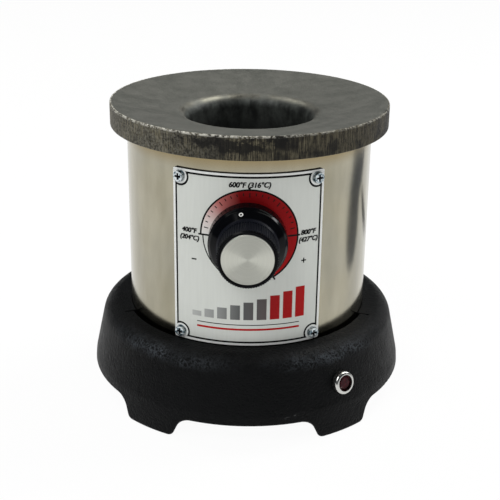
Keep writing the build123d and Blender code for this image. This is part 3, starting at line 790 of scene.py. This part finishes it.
def index_dot():
    """White ring printed on the knob's skirt, which shows where the knob points."""
    shape = bmesh.new()
    corners = [
        shape.verts.new((reach, 0, height))
        for reach, height in (
            (dot_inner, -dot_height / 2), (dot_outer, -dot_height / 2),
            (dot_outer, dot_height / 2), (dot_inner, dot_height / 2),
        )
    ]
    rims = [shape.edges.new(pair) for pair in zip(corners, corners[1:] + corners[:1])]
    bmesh.ops.spin(
        shape, geom=corners + rims, cent=(0, 0, 0), axis=(0, 0, 1),
        angle=2 * math.pi, steps=dot_steps, use_merge=True,
    )
    bmesh.ops.remove_doubles(shape, verts=shape.verts, dist=fine_slack)
    bmesh.ops.recalc_face_normals(shape, faces=shape.faces)
    stand = Matrix.Translation((0, -dot_stand, dial_height))
    clock = Matrix.Rotation(-dot_turn, 4, "Y")
    lean = Matrix.Rotation(skirt_lean, 4, "X")
    shape.transform(stand @ clock @ Matrix.Translation((0, 0, dot_reach)) @ lean)
    piece("index_dot", shape, "knob", white_ink)


def worn_crucible():
    """The crucible's casting, spun from its section, with a chipped and chattered rim."""
    # The corner stands a little above the flange's top, and breaking it brings the rim just below
    rim_corner = flange_top + 0.97 * rim_break * dish_slope
    section = [
        (0, well_floor),
        (well_radius, well_floor),
        (well_radius, rim_corner - dish_drop),
        (flange_radius, rim_corner),
        (flange_radius, flange_under),
        (spigot_radius, flange_under),
        (spigot_radius, spigot_bottom),
        (cup_radius, spigot_bottom),
        (cup_radius, crucible_low.z),
        (0, crucible_low.z),
    ]
    # Reach and segments of the round or bevel at each corner, by the corner's place in the section
    rounds = {
        1: (well_floor_round, 8), 2: (mouth_reach, 12), 3: (rim_break, 3),
        4: (rim_break, 3), 7: (cup_root_bevel, 1), 8: (cup_foot_bevel, 1),
    }
    shape = bmesh.new()
    corners = [shape.verts.new((radius, 0, height)) for radius, height in section]
    runs = [shape.edges.new(pair) for pair in zip(corners, corners[1:])]
    bmesh.ops.subdivide_edges(shape, edges=[runs[2]], cuts=dish_cuts)
    for corner, (offset, segments) in rounds.items():
        radius, height = section[corner]
        place = Vector((radius, 0, height))
        bmesh.ops.bevel(
            shape, geom=[min(shape.verts, key=lambda vert: (vert.co - place).length)], offset=offset,
            offset_type="OFFSET", affect="VERTICES", segments=segments, profile=0.5, material=-1,
        )
    rim = [edge for edge in shape.edges if all(vert.co.x > flange_radius - slack for vert in edge.verts)]
    bmesh.ops.subdivide_edges(shape, edges=rim, cuts=rim_cuts)
    bmesh.ops.spin(
        shape, geom=shape.verts[:] + shape.edges[:], cent=(0, 0, 0), axis=(0, 0, 1),
        angle=2 * math.pi, steps=crucible_steps, use_merge=True,
    )
    bmesh.ops.remove_doubles(shape, verts=shape.verts, dist=slack)
    bmesh.ops.recalc_face_normals(shape, faces=shape.faces)
    chip_rim(shape)
    for turn in rod_turns:
        add_rod_boss(shape, math.radians(turn))
    for face in shape.faces:
        face.smooth = True
    made = piece("worn_crucible", shape, "pot", finishes["cast_iron_bare"])
    made.data.set_sharp_from_angle(angle=sharp_turn)
    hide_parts("crucible")


def chip_rim(shape):
    """Presses chips and upright chatter into the rim, deepest along its two corners."""
    for vert in shape.verts:
        away = Vector((vert.co.x, vert.co.y, 0))
        if away.length < flange_radius - 2 * rim_break or vert.co.z < flange_under - slack:
            continue
        turn = math.atan2(vert.co.x, -vert.co.y)
        height = (vert.co.z - flange_under) / flange_edge
        corner = abs(2 * height - 1) ** corner_power
        chatter = abs(noise.noise((turn * chatter_per_radian, height * chatter_up_rim, chatter_layer)))
        chip = max(0.0, noise.noise(vert.co * fine_chips_per_metre) - fine_chip_floor)
        chip += max(0.0, noise.noise(vert.co * coarse_chips_per_metre) - coarse_chip_floor)
        press = chatter_depth * chatter + (face_chip_depth + corner_chip_depth * corner) * chip
        vert.co -= away.normalized() * press


def add_rod_boss(shape, turn):
    """Adds a boss below the flange, bored for the end of a tie rod and let a little into the casting."""
    top = spigot_bottom + rod_boss_root
    bottom = spigot_bottom - rod_boss_height
    hole_top = bottom + rod_hole_depth
    centre = Vector((rod_circle_radius * math.sin(turn), -rod_circle_radius * math.cos(turn), 0))
    section = [
        (0, hole_top), (rod_hole_radius, hole_top), (rod_hole_radius, bottom),
        (rod_boss_radius, bottom), (rod_boss_radius, top), (0, top),
    ]
    corners = [shape.verts.new(centre + Vector((radius, 0, height))) for radius, height in section]
    runs = [shape.edges.new(pair) for pair in zip(corners, corners[1:])]
    bmesh.ops.spin(
        shape, geom=corners + runs, cent=centre, axis=(0, 0, 1),
        angle=2 * math.pi, steps=rod_boss_steps, use_merge=True,
    )
    made = [vert for vert in shape.verts if (vert.co.xy - centre.xy).length < 1.01 * rod_boss_radius]
    made = [vert for vert in made if vert.co.z < top + slack and vert.co.z > bottom - slack]
    bmesh.ops.remove_doubles(shape, verts=made, dist=slack)
    boss_faces = {face for vert in made if vert.is_valid for face in vert.link_faces}
    bmesh.ops.recalc_face_normals(shape, faces=list(boss_faces))


dial_numbers()
dial_marks()
level_bars()
plate_rule("black_rule", 0.35 * MM, -41.0 * MM, black_ink)
plate_rule("red_rule", 0.9 * MM, -43.2 * MM, red_ink)
index_dot()
worn_crucible()


# Stage, light and camera


def seen(nodes):
    """1 on camera, glossy and transmission rays, and 0 on the rays that carry light."""
    camera, glossy, through = [
        nodes.node("ShaderNodeLightPath", output=ray)
        for ray in ("Is Camera Ray", "Is Glossy Ray", "Is Transmission Ray")
    ]
    return nodes.larger(nodes.larger(camera, glossy), through)


def bare_material(name):
    """A material for the stage with no shader yet, its nodes, and the socket that takes its surface."""
    material = bpy.data.materials.new(name)
    material.use_nodes = True
    tree = material.node_tree
    tree.nodes.clear()
    output = tree.nodes.new("ShaderNodeOutputMaterial")
    return material, Nodes(tree), output.inputs["Surface"]


def floor_finish():
    """Pale floor that looks white where it is seen, and still takes a soft shadow."""
    pale, nodes, surface = bare_material("pale_floor")
    lit = nodes.node("ShaderNodeBsdfDiffuse", inputs={"Color": floor_tone})
    white = nodes.node("ShaderNodeEmission", inputs={"Strength": 1.0})
    share = seen(nodes) * floor_white
    nodes.link(nodes.node("ShaderNodeMixShader", inputs={0: share, 1: lit, 2: white}), surface)
    return pale


def cloth_finish(name, colour, level=1.0):
    """Cloth of one even tone."""
    cloth, nodes, surface = bare_material(name)
    nodes.link(nodes.node("ShaderNodeEmission", inputs={"Color": colour, "Strength": level}), surface)
    return cloth


def stage_piece(name, shape, finish):
    """Makes a piece of the stage, which is no part of the pot."""
    made = make_object(name, shape, finish)
    return made


def only_reflected(made):
    """Leaves a stage piece to be seen only in gloss, as a flag beside the picture is."""
    made.visible_camera = False
    made.visible_diffuse = False
    made.visible_transmission = False
    made.visible_shadow = False


def lay_floor():
    """Round pale floor under the pot."""
    shape = bmesh.new()
    bmesh.ops.create_circle(shape, cap_ends=True, segments=96, radius=floor_radius)
    stage_piece("floor", shape, floor_finish())


def hang_drape(front_cloth, back_cloth):
    """Dark drape all round the table and over it, which gloss shows in place of the sky."""
    shape = bmesh.new()
    roof = Matrix.Translation((0, 0, drape_height))
    ring = bmesh.ops.create_circle(shape, cap_ends=True, segments=64, radius=drape_radius, matrix=roof)
    edges = {edge for vert in ring["verts"] for edge in vert.link_edges}
    walls = bmesh.ops.extrude_edge_only(shape, edges=list(edges))["geom"]
    lower = [part for part in walls if isinstance(part, bmesh.types.BMVert)]
    bmesh.ops.translate(shape, verts=lower, vec=(0, 0, -drape_height))
    for face in shape.faces:
        face.material_index = 1 if face.calc_center_median().y > drape_back else 0
    made = stage_piece("drape", shape, front_cloth)
    made.data.materials.append(back_cloth)
    only_reflected(made)


def hang_card(name, place, size, cloth):
    """Pale card that gloss shows as a window does, square to the line to the pot."""
    shape = bmesh.new()
    turn = (object_middle - place).to_track_quat("Z", "Y").to_matrix().to_4x4()
    stretch = Matrix.Diagonal((size, size, 1, 1))
    card = Matrix.Translation(place) @ turn @ stretch
    bmesh.ops.create_grid(shape, x_segments=1, y_segments=1, size=0.5, matrix=card)
    only_reflected(stage_piece(name, shape, cloth))


def lay_strip(name, corners, cloth):
    """Dark strip on the table, which the polished shell shows as an upright streak."""
    shape = bmesh.new()
    verts = [shape.verts.new((x, y, strip_lift)) for x, y in corners]
    bmesh.ops.contextual_create(shape, geom=verts)
    only_reflected(stage_piece(name, shape, cloth))


def light_sky():
    """World that lights softly, and is white where it is seen."""
    world = bpy.data.worlds.new("studio")
    bpy.context.scene.world = world
    world.use_nodes = True
    nodes = Nodes(world.node_tree)
    sky = world.node_tree.nodes["Background"]
    sky.inputs["Color"].default_value = (1, 1, 1, 1)
    nodes.link(seen(nodes) * (1 - sky_level) + sky_level, sky.inputs["Strength"])


def soft_box(name, place, size, watts):
    """Square studio lamp, turned to the pot."""
    lamp = bpy.data.lights.new(name, "AREA")
    lamp.shape = "SQUARE"
    lamp.size = size
    lamp.energy = watts
    holder = bpy.data.objects.new(name, lamp)
    holder.location = place
    holder.rotation_mode = "QUATERNION"
    holder.rotation_quaternion = (object_middle - place).to_track_quat("-Z", "Y")
    bpy.context.scene.collection.objects.link(holder)


def set_camera():
    """The photograph's view: from the front, looking down, with a slight roll."""
    ahead = Vector((0, math.cos(camera_pitch), -math.sin(camera_pitch)))
    right = Vector((1, 0, 0))
    above = Vector((0, math.sin(camera_pitch), math.cos(camera_pitch)))
    leaned_right = right * math.cos(camera_roll) + above * math.sin(camera_roll)
    leaned_above = above * math.cos(camera_roll) - right * math.sin(camera_roll)
    turn = Matrix((leaned_right, leaned_above, -ahead)).transposed()
    view = bpy.data.cameras.new("camera")
    view.lens = camera_lens
    view.shift_x = camera_shift_x
    view.shift_y = camera_shift_y
    view.clip_start = camera_clip
    holder = bpy.data.objects.new("camera", view)
    holder.matrix_world = Matrix.Translation(camera_place) @ turn.to_4x4()
    bpy.context.scene.collection.objects.link(holder)
    bpy.context.scene.camera = holder


dark_cloth = cloth_finish("dark_cloth", srgb(52, 55, 60))
back_cloth = cloth_finish("back_cloth", srgb(104, 106, 108))
strip_cloth = cloth_finish("strip_cloth", srgb(100, 104, 114))
line_cloth = cloth_finish("line_cloth", srgb(74, 77, 83))
right_cloth = cloth_finish("right_cloth", srgb(250, 250, 244), 4.0)
left_cloth = cloth_finish("left_cloth", srgb(250, 250, 244), 2.4)
lay_floor()
hang_drape(dark_cloth, back_cloth)
hang_card("right_card", right_card_place, right_card_size, right_cloth)
hang_card("left_card", left_card_place, left_card_size, left_cloth)
lay_strip("wide_strip", wide_strip_corners, strip_cloth)
lay_strip("thin_strip", thin_strip_corners, line_cloth)
light_sky()
for lamp_sizes in soft_boxes:
    soft_box(*lamp_sizes)
set_camera()
bpy.context.scene.view_settings.view_transform = "Standard"
